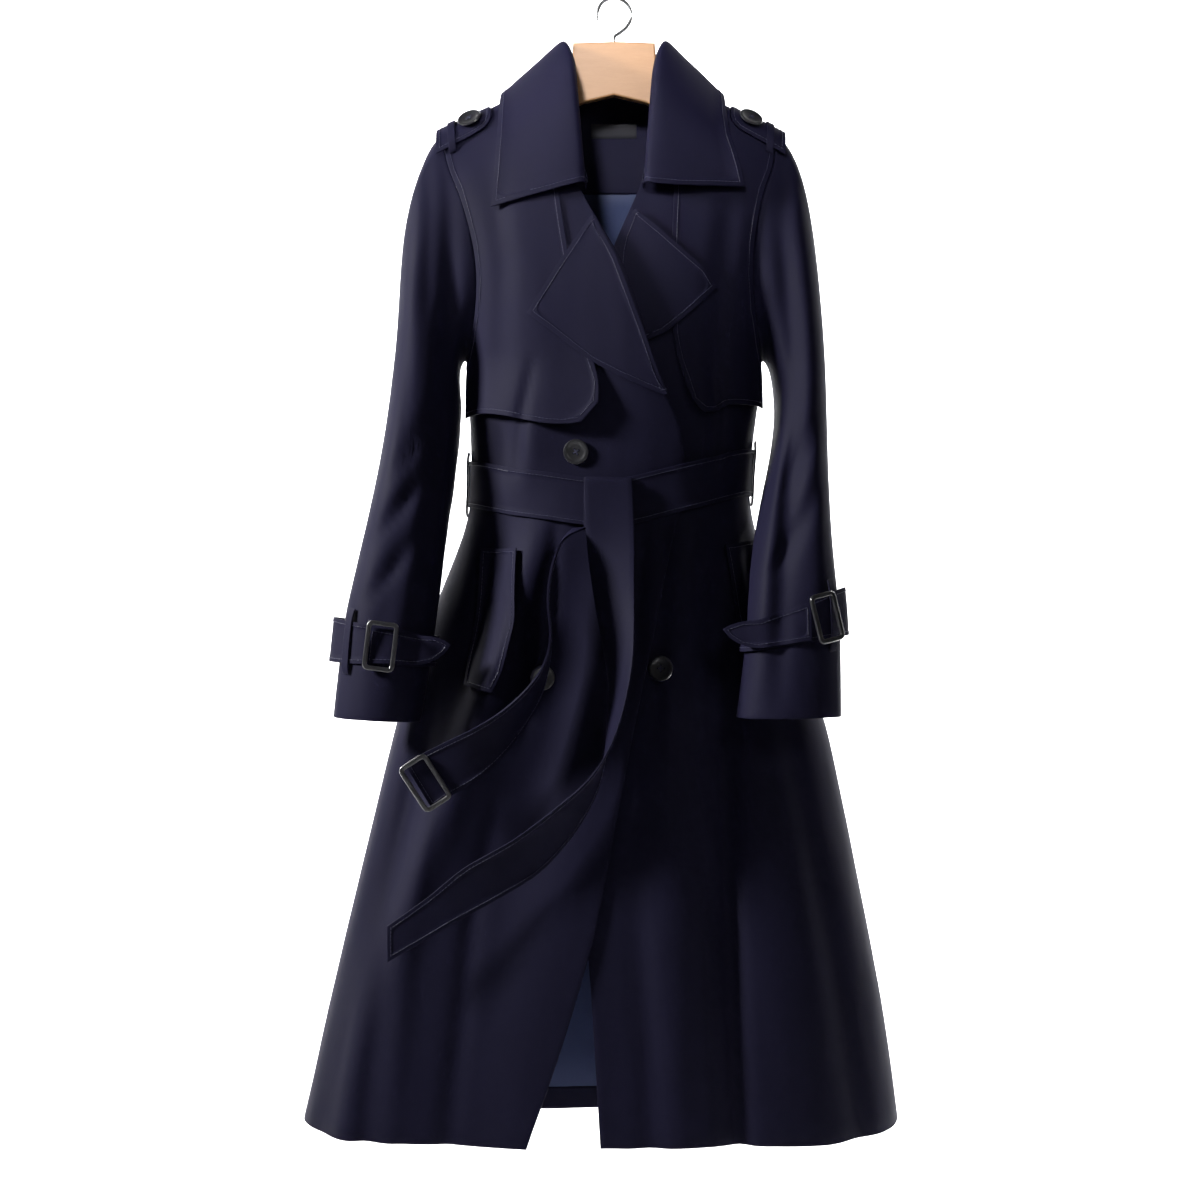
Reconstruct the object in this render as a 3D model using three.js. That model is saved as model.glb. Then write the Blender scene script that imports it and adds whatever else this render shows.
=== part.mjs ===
// A navy trench coat, belted and double-breasted, hanging on a wooden hanger.
// Millimetres. +Z is up, the front faces -Y, +X is the wearer's left.
// The origin is the inside top of the hanger's hook, so the coat hangs down from z = 0.
import * as THREE from 'three';

// Driving sizes
const CLOTH = 2; // wall of the shell cloth
const LINING = 1; // wall of the lining
const SEAM = 0.3; // distance between two pieces that are sewn together
const NECK_HALF = 62; // half width of the neck hole at the shoulder seam
const NECK_DROP = 90; // height of the neck points below the hook
const SHOULDER_ROUND = 30; // radius of the cloth over the shoulder
const SHOULDER_SLOPE_RIGHT = 0.455; // fall of the shoulder on the wearer's right
const SHOULDER_SLOPE_LEFT = 0.5; // fall of the shoulder on the wearer's left
const UNDERARM = 405; // height of the underarm points below the hook
const HEM = 1233; // height of the hem below the hook
const BELT_WIDE = 50;
const BUTTON_WIDE = 27;
const BUTTON_THICK = 4;
const WOOD_THICK = 12;
const WIRE = 4;

// Colours
const NAVY = { color: 0x232338, roughness: 0.75, metalness: 0 };
const SATIN = { color: 0x2b3050, roughness: 0.45, metalness: 0 };
const HORN = { color: 0x17171a, roughness: 0.3, metalness: 0 };
const WOOD = { color: 0xd9b07c, roughness: 0.5, metalness: 0 };
const STEEL = { color: 0xb8b8bc, roughness: 0.3, metalness: 1 };

const coat = new THREE.Group();

function addMesh(name, geometry, look) {
  const mesh = new THREE.Mesh(geometry, new THREE.MeshStandardMaterial(look));
  mesh.name = name;
  coat.add(mesh);
  return mesh;
}

// Number helpers
const clamp = (value, low, high) => Math.min(Math.max(value, low), high);

// Rises from 0 at `low` to 1 at `high`, or falls when `low` is the larger one.
function ramp(low, high, value) {
  const t = clamp((value - low) / (high - low), 0, 1);
  return t * t * (3 - 2 * t);
}

const hump = (value, middle, width) => Math.exp(-(((value - middle) / width) ** 2));

// A smooth line through pairs [key, value], its slopes taken from the neighbouring chords.
function through(pairs) {
  const last = pairs.length - 1;
  const slopes = pairs.map((pair, i) => {
    const before = pairs[Math.max(i - 1, 0)];
    const after = pairs[Math.min(i + 1, last)];
    return (after[1] - before[1]) / (after[0] - before[0]);
  });
  return (key) => {
    if (key <= pairs[0][0]) return pairs[0][1];
    if (key >= pairs[last][0]) return pairs[last][1];
    const i = pairs.findIndex((pair) => pair[0] > key) - 1;
    const span = pairs[i + 1][0] - pairs[i][0];
    const t = (key - pairs[i][0]) / span;
    const start = pairs[i][1] * (1 + 2 * t) * (1 - t) ** 2 + slopes[i] * span * t * (1 - t) ** 2;
    const end = pairs[i + 1][1] * t * t * (3 - 2 * t) - slopes[i + 1] * span * t * t * (1 - t);
    return start + end;
  };
}

// A sheet of cloth: the outer face goes through grid[i][j], and the inner face lies `wall` behind it.
// `facing` is 1 where a column to the right and a row down, crossed, point out of the coat, and -1 where not. `round` closes each row.
// `edit` may set the directions of single points, and `inner` the inner points of the first row.
function sheet(grid, wall, facing, { round = false, edit, inner } = {}) {
  const rows = grid.length;
  const columns = grid[0].length;
  const normals = grid.map((row, i) => row.map((point, j) => {
    const left = round ? row[(j + columns - 1) % columns] : row[Math.max(j - 1, 0)];
    const right = round ? row[(j + 1) % columns] : row[Math.min(j + 1, columns - 1)];
    const above = grid[Math.max(i - 1, 0)][j];
    const below = grid[Math.min(i + 1, rows - 1)][j];
    const across = right.clone().sub(left);
    const down = below.clone().sub(above);
    return across.cross(down).normalize().multiplyScalar(facing);
  }));
  if (edit) edit(normals);
  const positions = [];
  const put = (point) => positions.push(point.x, point.y, point.z);
  grid.forEach((row) => row.forEach(put));
  const behind = grid.map((row, i) => row.map((point, j) => {
    if (inner && i === 0) return inner[j];
    return point.clone().addScaledVector(normals[i][j], -wall);
  }));
  behind.forEach((row) => row.forEach(put));
  const half = rows * columns;
  const at = (i, j) => i * columns + (round ? j % columns : j);
  const index = [];
  const quad = (a, b, c, d) => index.push(a, b, c, a, c, d);
  const spans = round ? columns : columns - 1;
  for (let i = 0; i < rows - 1; i += 1) {
    for (let j = 0; j < spans; j += 1) {
      quad(at(i, j), at(i + 1, j), at(i + 1, j + 1), at(i, j + 1));
      quad(half + at(i, j), half + at(i, j + 1), half + at(i + 1, j + 1), half + at(i + 1, j));
    }
  }
  for (let j = 0; j < spans; j += 1) {
    quad(at(0, j), at(0, j + 1), half + at(0, j + 1), half + at(0, j));
    const low = rows - 1;
    quad(at(low, j + 1), at(low, j), half + at(low, j), half + at(low, j + 1));
  }
  if (!round) {
    for (let i = 0; i < rows - 1; i += 1) {
      const end = columns - 1;
      quad(at(i + 1, 0), at(i, 0), half + at(i, 0), half + at(i + 1, 0));
      quad(at(i, end), at(i + 1, end), half + at(i + 1, end), half + at(i, end));
    }
  }
  return { geometry: outward(positions, index), normals, behind };
}

// The mesh of these points and triangles, with its faces pointing out.
function outward(positions, index) {
  let volume = 0;
  const corner = (k) => new THREE.Vector3().fromArray(positions, index[k] * 3);
  for (let k = 0; k < index.length; k += 3) volume += corner(k).dot(corner(k + 1).cross(corner(k + 2)));
  const turned = [];
  for (let k = 0; k < index.length; k += 3) turned.push(index[k], index[k + 2], index[k + 1]);
  const geometry = new THREE.BufferGeometry();
  geometry.setAttribute('position', new THREE.Float32BufferAttribute(positions, 3));
  geometry.setIndex(volume > 0 ? index : turned);
  geometry.computeVertexNormals();
  return geometry;
}

// Sections of the coat's body, by the height below the hook at the neck.
// Above the underarm the levels slope with the shoulder, and below it they are level.
const SECTIONS = [
  // height, middle x, half width, side y, front y, back y, squareness, slope share
  [120, 0, 200, 0, -30, 30, 12, 1],
  [150, 0, 192, 0, -44, 36, 6.5, 0.9],
  [185, 0, 185, 0, -57, 43, 5, 0.72],
  [222, 0, 178, 0, -67, 49, 4, 0.55],
  [260, 0, 172, 0, -74, 54, 3.5, 0.38],
  [300, 0, 168, 0, -80, 57, 3, 0.24],
  [340, 0, 166, 0, -84, 60, 2.7, 0.13],
  [380, 0, 164.5, 0, -85, 60, 2.5, 0.05],
  [405, 0, 163, 0, -85, 60, 2.3, 0],
  [440, 0, 160, 0, -84, 57, 2.3, 0],
  [480, -2, 156, 0, -81, 52, 2.3, 0],
  [540, -4, 153, 2, -78, 48, 2.3, 0],
  [570, -4, 156, 4, -78, 49, 2.3, 0],
  [610, -5, 169, 8, -81, 52, 2.4, 0],
  [660, -5, 190, 12, -84, 55, 2.4, 0],
  [720, -4, 213, 17, -88, 57, 2.5, 0],
  [790, -3, 237, 24, -92, 58, 2.6, 0],
  [880, -4, 257, 30, -97, 58, 2.7, 0],
  [1000, -7, 284, 37, -103, 58, 2.9, 0],
  [1110, -9, 308, 43, -108, 58, 3, 0],
  [1233, -14, 331, 50, -112, 58, 3, 0],
];
const column = (k) => through(SECTIONS.map((row) => [row[0], row[k]]));
const middleOf = column(1);
const halfOf = column(2);
const sideOf = column(3);
const frontOf = column(4);
const backOf = column(5);
const squareOf = column(6);
const slopeShareOf = column(7);

const slopeOf = (x) => (x < 0 ? SHOULDER_SLOPE_RIGHT : SHOULDER_SLOPE_LEFT);

// The height below the hook of level `q` at `x`.
function dropAt(x, q) {
  const share = q < 120 ? 1 : slopeShareOf(q);
  return q + share * slopeOf(x) * Math.max(Math.abs(x) - NECK_HALF, 0);
}

// The level that passes through the point at `x`, `drop` below the hook.
function levelAt(x, drop) {
  let low = NECK_DROP;
  let high = HEM + 60;
  for (let step = 0; step < 40; step += 1) {
    const middle = (low + high) / 2;
    if (dropAt(x, middle) < drop) low = middle;
    else high = middle;
  }
  return (low + high) / 2;
}

// How far the body reaches forward or back at `x` on level `q`, as a share of its full depth.
function share(x, q) {
  const across = clamp(Math.abs(x - middleOf(q)) / halfOf(q), 0, 1);
  const square = squareOf(q);
  return (1 - across ** square) ** (1 / square);
}

// Depth of the round over the shoulder, which ends where the first section begins.
const roundDepth = (q) => {
  const fall = clamp(q - NECK_DROP, 0, SHOULDER_ROUND);
  return Math.sqrt(2 * SHOULDER_ROUND * fall - fall * fall);
};

// Folds of the skirt and the waist. Each has a line of [height, x], a width and a line of [height, depth].
const FRONT_FOLDS = [
  // the ridge that falls from the belt to the hem on the wearer's right, and the hollow beside it
  [[[520, -74], [600, -90], [690, -110], [760, -138], [850, -166], [990, -226], [1110, -262], [1233, -285]],
    20, [[576, 0], [622, 14], [800, 17], [1233, 13]]],
  [[[520, -106], [640, -128], [760, -172], [990, -262], [1233, -318]],
    20, [[555, 0], [620, -9], [800, -10], [1233, -9]]],
  // the broad hollow between that ridge and the lap
  [[[540, -30], [700, -48], [850, -92], [1000, -140], [1233, -200]],
    34, [[585, 0], [650, -9], [860, -10], [1050, -5], [1233, 0]]],
  // the folds above the belt
  [[[400, -146], [540, -140]], 15, [[440, 0], [482, 9], [505, 7], [530, 0]]],
  [[[400, -92], [540, -88]], 14, [[440, 0], [482, 9], [505, 7], [530, 0]]],
  [[[400, -118], [540, -114]], 12, [[440, 0], [482, -7], [505, -6], [530, 0]]],
  [[[400, 128], [540, 122]], 14, [[440, 0], [482, 9], [505, 7], [530, 0]]],
  // the ridge below the belt on the wearer's left, down to the lowest wave of the hem
  [[[560, 88], [600, 76], [720, 60], [880, 56], [1100, 66], [1233, 78]],
    24, [[560, 0], [620, 11], [800, 12], [1233, 9]]],
  [[[560, 134], [640, 124], [770, 110], [1233, 116]], 24, [[560, 0], [640, -9], [780, -11], [1233, -9]]],
  [[[620, 160], [900, 190], [1233, 222]], 42, [[640, 0], [760, -6], [900, 6], [1233, 8]]],
  // the shallow hollow beside the lap near the hem
  [[[700, -40], [1233, -160]], 34, [[700, 0], [900, -6], [1233, -7]]],
];
const BACK_FOLDS = [
  [[[520, -70], [1233, -170]], 34, [[560, 0], [760, 9], [1233, 12]]],
  [[[520, 0], [1233, 0]], 34, [[560, 0], [760, 9], [1233, 12]]],
  [[[520, 70], [1233, 170]], 34, [[560, 0], [760, 9], [1233, 12]]],
];
const readFolds = (folds) => folds.map(([path, width, depth]) => [through(path), width, through(depth)]);
const frontFolds = readFolds(FRONT_FOLDS);
const backFolds = readFolds(BACK_FOLDS);

function foldDepth(folds, x, q) {
  return folds.reduce((sum, [path, width, depth]) => sum + depth(q) * hump(x, path(q), width), 0);
}

// y of the coat's front and back at `x` on level `q`
function frontY(x, q) {
  if (q < 120) return -roundDepth(q) * share(x, 120);
  const reach = share(x, q);
  const plain = sideOf(q) + (frontOf(q) - sideOf(q)) * reach;
  return plain - foldDepth(frontFolds, x, q) * Math.min(1, 1.5 * reach);
}

function backY(x, q) {
  const neck = 45 * Math.sqrt(Math.max(0, 1 - (x / NECK_HALF) ** 2));
  if (q < 120) {
    const round = roundDepth(q) * share(x, 120);
    return round + neck * (1 - (0.62 * round) / SHOULDER_ROUND);
  }
  const reach = share(x, q);
  const plain = sideOf(q) + (backOf(q) - sideOf(q)) * reach;
  return plain + neck * 0.38 * ramp(230, 120, q) + foldDepth(backFolds, x, q) * reach;
}

// The lap: the wearer's right front passes over the left one and rolls open above the waist.
const rollLift = through([[90, 0], [150, 1], [240, 3], [300, 6], [400, 8], [450, 7], [510, 2], [560, 0]]);
const LAP = 4.5;

function overY(x, q) {
  const lap = LAP * ramp(-150, -95, x) * ramp(100, 130, q);
  return frontY(x, q) - lap - rollLift(q) * ramp(overEdge(q) - 90, overEdge(q), x);
}

// The left front lies behind the right one where it is covered.
function underY(x, q) {
  return frontY(x, q) + 3 * ramp(overEdge(q) + 5, overEdge(q) - 25, x) * ramp(230, 290, q);
}

// Front edges of the two fronts, as pairs [level, x]
const overEdge = through([
  [90, -62], [120, -61], [150, -56], [210, -44], [250, -24], [281, 0], [330, 18], [380, 33], [430, 45],
  [450, 57], [470, 68], [510, 75], [540, 75], [600, 60], [700, 40], [800, 19], [900, 0], [1050, -30],
  [1233, -92],
]);
const underEdge = through([
  [90, 62], [120, 60], [150, 50], [200, 34], [238, 20], [275, 2], [330, -20], [400, -50], [500, -75],
  [600, -72], [800, -55], [900, -42], [1025, -28], [1233, -14],
]);

// Armhole edges, as pairs [level, distance from the middle]
const armholeRight = through([
  [90, 186], [107, 186], [120, 184], [150, 178], [185, 168], [222, 160], [260, 152], [300, 147], [340, 148],
  [380, 155], [405, 163],
]);
const armholeLeft = through([
  [90, 177], [107, 176], [120, 175], [150, 170], [185, 161], [222, 155], [260, 150], [300, 148], [340, 150],
  [380, 156], [405, 163],
]);

// Levels of the rows of the body's cloth. The first five go round the shoulder.
const ROUND_STEPS = [0, 8, 20, 33];
const ROWS = [
  ...ROUND_STEPS.map((step) => NECK_DROP + SHOULDER_ROUND * (1 - Math.cos(step / SHOULDER_ROUND))),
  120, 150, 185, 222, 260, 300, 340, 380, UNDERARM, 435, 465, 495, 525, 555, 590, 630, 675, 725, 785, 850, 920,
  1000, 1080, 1160, HEM,
];
const UNDERARM_ROW = ROWS.indexOf(UNDERARM);

// x of the outer end of level `q` on the side `side`, -1 for the wearer's right and 1 for the left
function outerX(side, q) {
  if (q < UNDERARM) return side * (side < 0 ? armholeRight(q) : armholeLeft(q));
  return middleOf(q) + side * halfOf(q);
}

// Points along level `q` between two values of x, evenly spaced along the cloth.
function rowPoints(depth, q, from, to, count) {
  const fine = [];
  const steps = 240;
  const half = halfOf(Math.max(q, 120));
  const middle = middleOf(Math.max(q, 120));
  const angle = (x) => Math.acos(clamp((x - middle) / half, -1, 1));
  const start = angle(from);
  const end = angle(to);
  for (let k = 0; k <= steps; k += 1) {
    const x = middle + half * Math.cos(start + ((end - start) * k) / steps);
    fine.push(new THREE.Vector3(x, depth(x, q), -dropAt(x, q)));
  }
  const lengths = [0];
  for (let k = 1; k <= steps; k += 1) lengths.push(lengths[k - 1] + fine[k].distanceTo(fine[k - 1]));
  const points = [];
  for (let j = 0; j <= count; j += 1) {
    const wanted = (lengths[steps] * j) / count;
    let k = 1;
    while (k < steps && lengths[k] < wanted) k += 1;
    const t = (wanted - lengths[k - 1]) / (lengths[k] - lengths[k - 1]);
    points.push(fine[k - 1].clone().lerp(fine[k], clamp(t, 0, 1)));
  }
  return points;
}

const up = (side) => {
  const slope = side < 0 ? SHOULDER_SLOPE_RIGHT : SHOULDER_SLOPE_LEFT;
  return new THREE.Vector3(side * slope, 0, 1).normalize();
};

// One front: rows from the shoulder to the hem, columns from the front edge to the armhole and side seam.
function frontPanel(side, depth, edge, columns) {
  const grid = ROWS.map((q) => rowPoints(depth, q, edge(q), outerX(side, q), columns));
  grid.forEach((row, i) => {
    row.forEach((point) => {
      if (i === 0) point.y = -SEAM / 2;
    });
    if (i >= UNDERARM_ROW) row[columns].y = sideOf(ROWS[i]) - SEAM / 2;
  });
  const edit = (normals) => {
    normals[0] = normals[0].map(() => up(side));
    for (let i = UNDERARM_ROW; i < ROWS.length; i += 1) normals[i][columns].set(side, 0, 0);
  };
  return { grid, ...sheet(grid, CLOTH, -side, { edit }) };
}

const over = frontPanel(-1, overY, overEdge, 17);
const under = frontPanel(1, underY, underEdge, 15);
addMesh('front_right', over.geometry, NAVY);
addMesh('front_left', under.geometry, NAVY);

// The back, cut in one: rows as the fronts, columns from the wearer's right to the left.
const BACK_COLUMNS = 16;
function backPanel() {
  const grid = ROWS.map((q) => rowPoints(backY, q, outerX(-1, q), outerX(1, q), BACK_COLUMNS));
  grid.forEach((row, i) => {
    row.forEach((point) => {
      if (i === 0) point.y = Math.max(point.y, SEAM / 2);
    });
    if (i >= UNDERARM_ROW) {
      row[0].y = sideOf(ROWS[i]) + SEAM / 2;
      row[BACK_COLUMNS].y = sideOf(ROWS[i]) + SEAM / 2;
    }
  });
  const edit = (normals) => {
    normals[0] = grid[0].map((point) => {
      if (Math.abs(point.x) > NECK_HALF) return up(Math.sign(point.x));
      return new THREE.Vector3(0, 0.9, 0.44).normalize();
    });
    for (let i = UNDERARM_ROW; i < ROWS.length; i += 1) {
      normals[i][0].set(-1, 0, 0);
      normals[i][BACK_COLUMNS].set(1, 0, 0);
    }
  };
  return { grid, ...sheet(grid, CLOTH, 1, { edit }) };
}

const back = backPanel();
addMesh('back', back.geometry, NAVY);

// Sleeves: each ring has an outer and an inner point, the depth of its middle and its half depth.
const SLEEVE_RIGHT = [
  // outer x, outer drop, inner x, inner drop, middle y, half depth
  [186, 147, 163, 405, -2, 55],
  [198, 158, 167, 404.5, -3, 57],
  [208, 178, 169.5, 411, -6, 58],
  [218, 207, 169, 426, -10, 58],
  [226, 243, 166, 443, -13, 58],
  [231.5, 288, 165, 462, -17, 58],
  [235, 385, 168, 510, -28, 56],
  [248, 487, 175, 570, -43, 53],
  [257.5, 537, 179, 602, -52, 50],
  [267, 585, 182, 635, -60, 48],
  [278, 635, 185, 668, -68, 46],
  [288, 682, 188, 700, -76, 44],
  [292, 727, 192, 732, -81, 42],
  [296, 762, 197, 765, -84, 41],
  [298, 783, 202, 789, -85, 40],
];
const SLEEVE_LEFT = [
  // outer x, outer drop, inner x, inner drop, middle y, half depth
  [177, 148, 163, 405, -2, 55],
  [188, 158, 167, 404.5, -3, 57],
  [199, 179, 171, 411, -7, 60],
  [208, 207, 173, 426, -9, 63],
  [215, 243, 174, 443, -12, 65],
  [221, 288, 175, 462, -15, 66],
  [229, 385, 168, 515, -25, 64],
  [229, 487, 150, 580, -52, 53],
  [229, 537, 144, 615, -69, 46],
  [230, 585, 140, 645, -84, 41],
  [233, 635, 138, 675, -94, 38],
  [237, 682, 135, 703, -99, 36],
  [237, 727, 131, 733, -102, 35],
  [237, 762, 127, 762, -105, 34],
  [237, 782, 124, 782, -106, 34],
];

// Soft lengthwise folds of a sleeve, by the angle from its outer side toward the front
function sleeveFold(angle, ring) {
  const fade = ramp(1, 5, ring) * ramp(13, 9, ring);
  return fade * (4 * hump(angle, 2.2, 0.3) - 5 * hump(angle, 1.55, 0.32) + 3 * hump(angle, 0.9, 0.3));
}

const lerp = (from, to, t) => from + (to - from) * t;

// The value of a table's row between two rows, for each column
function between(rows, place) {
  const i = clamp(Math.floor(place), 0, rows.length - 2);
  return rows[i].map((value, k) => lerp(value, rows[i + 1][k], place - i));
}

// A point of the sleeve at a ring, an angle from its outer side toward the front, and a distance outside.
function sleevePoint(side, rings, ring, angle, lift = 0) {
  const [outX, outDrop, inX, inDrop, middleY, depth] = between(rings, ring);
  const high = new THREE.Vector3(side * outX, 0, -outDrop);
  const low = new THREE.Vector3(side * inX, 0, -inDrop);
  const half = high.clone().sub(low).multiplyScalar(0.5);
  const reach = 1 + (sleeveFold(angle, ring) + lift) / depth;
  const swell = 1 + (sleeveFold(angle, ring) + lift) / half.length();
  const point = high.add(low).multiplyScalar(0.5).addScaledVector(half, Math.cos(angle) * swell);
  point.y = middleY - Math.sin(angle) * depth * reach;
  return point;
}

function sleeve(side, rings, front, backEnd) {
  // The armhole's loop: down the front edge from the shoulder, then up the back edge.
  const columns = front.grid[0].length - 1;
  const rim = [];
  for (let i = 0; i <= UNDERARM_ROW; i += 1) {
    rim.push({ outer: front.grid[i][columns], inner: front.behind[i][columns], normal: front.normals[i][columns] });
  }
  for (let i = UNDERARM_ROW - 1; i > 0; i -= 1) {
    rim.push({ outer: back.grid[i][backEnd], inner: back.behind[i][backEnd], normal: back.normals[i][backEnd] });
  }
  const middle = new THREE.Vector3(0, -2, -285);
  const first = [];
  const inner = [];
  const angles = [];
  rim.forEach(({ outer, inner: under, normal }, k) => {
    const ahead = rim[(k + 1) % rim.length].outer;
    const behind = rim[(k + rim.length - 1) % rim.length].outer;
    const away = ahead.clone().sub(behind).cross(normal).normalize().multiplyScalar(-side * SEAM);
    first.push(outer.clone().add(away));
    inner.push(under.clone().add(away));
    angles.push(Math.atan2(-(outer.y - middle.y) / 55, (outer.z - middle.z) / 120));
  });
  const grid = rings.map((row, ring) => angles.map((angle, k) => {
    const point = sleevePoint(side, rings, ring, angle);
    const rest = first[k].clone().sub(sleevePoint(side, rings, 0, angle));
    return point.addScaledVector(rest, 1 - ramp(0, 5, ring));
  }));
  return sheet(grid, CLOTH, side, { round: true, inner });
}

const sleeveRight = sleeve(-1, SLEEVE_RIGHT, over, 0);
const sleeveLeft = sleeve(1, SLEEVE_LEFT, under, BACK_COLUMNS);
addMesh('sleeve_right', sleeveRight.geometry, NAVY);
addMesh('sleeve_left', sleeveLeft.geometry, NAVY);

// Pieces that lie on the fronts

// The point of a surface at `x` on level `q`, moved `lift` along its outward direction.
function onCloth(surface, x, q, lift) {
  const place = (px, pq) => new THREE.Vector3(px, surface(px, pq), -dropAt(px, pq));
  const low = Math.max(q, 91);
  const across = place(x + 1, low).sub(place(x - 1, low));
  const down = place(x, low + 1).sub(place(x, low - 1));
  const out = down.cross(across).normalize();
  return place(x, q).addScaledVector(out, lift);
}

// A flap from the shoulder down, between two lines of x; `low` is its bottom level by share across.
function flap(surface, low, startX, endX, lift, columns, wall, facing) {
  const levels = ROWS.slice(1, UNDERARM_ROW + 1);
  const grid = levels.concat([0.5, 1]).map((step) => {
    const row = [];
    for (let j = 0; j <= columns; j += 1) {
      const share = j / columns;
      const q = step > 1 ? step : lerp(UNDERARM, low(share), step);
      const x = lerp(startX(q), endX(q), share);
      row.push(onCloth(surface, x, q, lift(q, share)));
    }
    return row;
  });
  return sheet(grid, wall, facing).geometry;
}

const FLAP_LIFT = 3;
const FLAP_WALL = 1.6;
const chestOver = (x, q) => overY(x, Math.min(q, UNDERARM));
const chestUnder = (x, q) => frontY(x, Math.min(q, UNDERARM));
const flapLift = (q, share) => FLAP_LIFT + 7 * ramp(400, 470, q) * ramp(0, 0.12, share);
addMesh('storm_flap_right', flap(
  chestOver,
  through([[0, 463], [0.15, 460], [0.35, 464], [0.6, 473], [0.8, 475], [0.92, 469], [1, 452]]),
  (q) => (q < 380 ? 1.5 - armholeRight(q) : through([[380, -153.5], [405, -158], [440, -160], [475, -160]])(q)),
  through([[90, -64], [200, -62], [330, -42], [411, -21], [432, -14], [452, -16], [475, -16]]),
  flapLift,
  8,
  FLAP_WALL,
  -1,
), NAVY);
addMesh('storm_flap_left', flap(
  chestUnder,
  through([[0, 452], [0.2, 451], [0.58, 453], [0.8, 463], [1, 449]]),
  (q) => (q < 380 ? armholeLeft(q) - 1.5 : through([[380, 154.5], [405, 158], [440, 160], [475, 160]])(q)),
  through([[90, 64], [200, 64], [300, 60], [386, 62], [449, 80], [475, 81]]),
  flapLift,
  7,
  FLAP_WALL,
  1,
), NAVY);

// A piece between two lines that run down the front, each of [share down, x, drop].
function band(surface, start, end, lift, rows, columns, wall, side) {
  const line = (points, k) => {
    let i = 1;
    while (i < points.length - 1 && points[i][0] < k) i += 1;
    const t = (k - points[i - 1][0]) / (points[i][0] - points[i - 1][0]);
    return [lerp(points[i - 1][1], points[i][1], t), lerp(points[i - 1][2], points[i][2], t)];
  };
  const grid = [];
  for (let i = 0; i <= rows; i += 1) {
    const from = line(start, i / rows);
    const to = line(end, i / rows);
    const row = [];
    for (let j = 0; j <= columns; j += 1) {
      const x = lerp(from[0], to[0], j / columns);
      const drop = lerp(from[1], to[1], j / columns);
      row.push(onCloth(surface, x, levelAt(x, drop), lift(i / rows, j / columns)));
    }
    grid.push(row);
  }
  return sheet(grid, wall, side).geometry;
}

// Lapels: from the roll line, on the inner side, out to the point.
addMesh('lapel_right', band(
  overY,
  [[0, -27, 258], [0.5, -91.7, 356], [0.8, -24, 409], [0.9, 10, 427], [1, 50, 444]],
  [[0, -23, 256], [0.25, 0, 294], [0.5, 15, 335], [0.75, 31, 379], [0.9, 43, 416], [1, 54, 443]],
  (down, share) => lerp(6.4, 8, share),
  10,
  5,
  CLOTH,
  -1,
), NAVY);
addMesh('lapel_left', band(
  underY,
  [[0, 23, 246], [0.5, 96, 309], [0.6, 107, 328], [0.8, 75, 359], [1, 52, 378]],
  [[0, 19, 248], [0.25, 6, 282], [0.6, 2, 330], [0.8, 10, 362], [1, 25, 390]],
  (down, share) => lerp(6.4, 4, share),
  10,
  5,
  CLOTH,
  1,
), NAVY);

// Collar: each station runs from the neck seam up the stand, over the fold and down to the outer edge.
const COLLAR = [
  // neck seam, stand below the fold, fold, fall below the fold, outer edge: x, y, drop of each
  [[-30, -71, 222], [-30, -73, 221], [-32, -84, 217], [-42, -88, 220], [-132, -72, 241]],
  [[-38, -60, 190], [-34, -64, 172], [-36, -76, 165], [-46, -80, 172], [-129, -67, 206]],
  [[-47, -45, 150], [-38, -52, 122], [-41, -66, 115], [-52, -70, 124], [-126, -53, 158]],
  [[-53, -32, 118], [-41, -38, 80], [-45, -50, 74], [-58, -52, 84], [-124, -24, 119.5]],
  [[-57, -12, 90], [-49, -20, 58], [-53, -26, 48], [-66, -26, 58], [-122, 2, 99.5]],
  [[-58, 10, 89.3], [-51, 6, 56], [-57, 8, 46], [-69, 10, 56], [-112, 26, 105]],
  [[-47, 30, 89.3], [-42, 32, 58], [-48, 38, 48], [-57, 44, 58], [-88, 52, 132]],
  [[-24, 41, 89.3], [-23, 44, 62], [-25, 52, 52], [-29, 60, 62], [-44, 64, 148]],
  [[0, 44, 89.3], [0, 47, 64], [0, 55, 54], [0, 64, 64], [0, 67, 152]],
];
const LEFT_FALL_IN = 3; // the collar's edge on the wearer's left shoulder lies this much further in
const LEFT_POINT_OUT = 8; // its point lies this much further out
const LEFT_POINT_UP = 23; // and this much higher
function collar() {
  const leftSide = COLLAR.slice(0, -1).reverse().map((station) => station.map(([x, y, drop]) => {
    const outside = ramp(60, 130, -x);
    const point = ramp(140, 241, drop);
    const moved = lerp(-LEFT_FALL_IN, LEFT_POINT_OUT, point) * outside;
    return [-x + moved, y + 6 * outside * point, drop - LEFT_POINT_UP * outside * point];
  }));
  const stations = COLLAR.concat(leftSide);
  const lines = [0, 1, 2, 3, 4].map((k) => {
    return new THREE.CatmullRomCurve3(stations.map((row) => new THREE.Vector3(row[k][0], row[k][1], -row[k][2])));
  });
  const columns = 26;
  const downShares = [0, 0.14, 0.21, 0.28, 0.38, 0.52, 0.68, 0.84, 1];
  const around = [];
  for (let j = 0; j <= columns; j += 1) {
    const across = lines.map((line) => line.getPoint(j / columns));
    const profile = new THREE.CatmullRomCurve3(across, false, 'centripetal');
    around.push(downShares.map((share) => profile.getPoint(share)));
  }
  const grid = downShares.map((share, i) => around.map((profile) => profile[i]));
  return sheet(grid, 1.8, 1);
}
addMesh('collar', collar().geometry, NAVY);

// Shoulder straps with their keeper loops and buttons

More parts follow.
